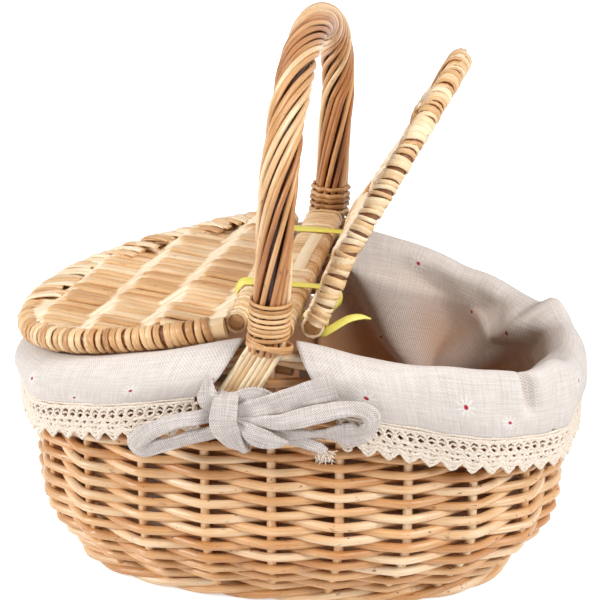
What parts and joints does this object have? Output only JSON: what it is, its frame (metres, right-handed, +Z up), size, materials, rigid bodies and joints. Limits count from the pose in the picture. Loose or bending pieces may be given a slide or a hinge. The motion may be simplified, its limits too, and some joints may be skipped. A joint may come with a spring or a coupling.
{
  "type": "lidded picnic basket",
  "caption": "Oval woven willow picnic basket with a twisted hoop handle, hinged D-shaped lids and a linen liner folded over the rim with lace and tie bows.",
  "frame": {"origin": "middle of the base on the surface it stands on", "axes": "+X along the oval towards the lid that stands open, +Y to the back along the crossbar, +Z up"},
  "size_m": [0.2988, 0.2276, 0.2984],
  "materials": {
    "willow": "buff peeled willow, satin",
    "willow_dark": "darker willow, satin",
    "cane": "pale split cane, light gloss",
    "linen": "plain woven linen with small printed daisies",
    "bow_linen": "plain grey-beige linen",
    "lace": "cream cotton lace",
    "yellow_tie": "yellow flat strip"
  },
  "bodies": {
    "basket": {"foot_border": "willow", "wall_weave": "willow", "stake_frame": "willow", "front_foot_fan": "willow", "back_foot_fan": "willow", "crossbar_rod_left": "willow", "crossbar_rod_right": "willow", "handle_rod_1": "willow", "handle_rod_2": "willow", "handle_rod_3": "willow", "handle_rod_4": "willow", "handle_rod_5": "willow", "handle_rod_6": "willow", "handle_rod_7": "willow", "handle_rod_8": "willow", "base_panel": "willow_dark", "rim_border": "willow_dark", "handle_core": "willow_dark", "front_handle_binding": "cane", "back_handle_binding": "cane", "crossbar_wrap": "cane", "liner_bag": "linen", "left_cuff": "linen", "right_cuff": "linen", "left_lace": "lace", "right_lace": "lace", "front_hinge_tie": "yellow_tie", "back_hinge_tie": "yellow_tie", "front_bow_knot": "bow_linen", "front_bow_loop_left": "bow_linen", "front_bow_loop_right": "bow_linen", "front_bow_strap_left": "bow_linen", "front_bow_strap_right": "bow_linen", "back_bow_knot": "bow_linen", "back_bow_loop_left": "bow_linen", "back_bow_loop_right": "bow_linen", "back_bow_strap_left": "bow_linen", "back_bow_strap_right": "bow_linen"},
    "left_lid": {"left_lid_bow": "willow", "left_lid_hinge_rod": "willow", "left_lid_panel": "cane", "left_lid_rib_1": "willow_dark", "left_lid_rib_2": "willow_dark", "left_lid_rib_3": "willow_dark", "left_lid_bow_wrap": "cane", "left_lid_hinge_rod_wrap": "cane"},
    "right_lid": {"right_lid_bow": "willow", "right_lid_hinge_rod": "willow", "right_lid_panel": "cane", "right_lid_rib_1": "willow_dark", "right_lid_rib_2": "willow_dark", "right_lid_rib_3": "willow_dark", "right_lid_bow_wrap": "cane", "right_lid_hinge_rod_wrap": "cane", "right_lid_tail": "yellow_tie"}
  },
  "joints": [
    {"name": "left_lid_hinge", "type": "hinge", "parent": "basket", "child": "left_lid", "pos_m": [-0.01879, 0, 0.15558], "axis": [0, 1, 0], "range_deg": [0, 102]},
    {"name": "right_lid_hinge", "type": "hinge", "parent": "basket", "child": "right_lid", "pos_m": [0.01879, 0, 0.15558], "axis": [0, -1, 0], "range_deg": [-74.5, 22]}
  ]
}
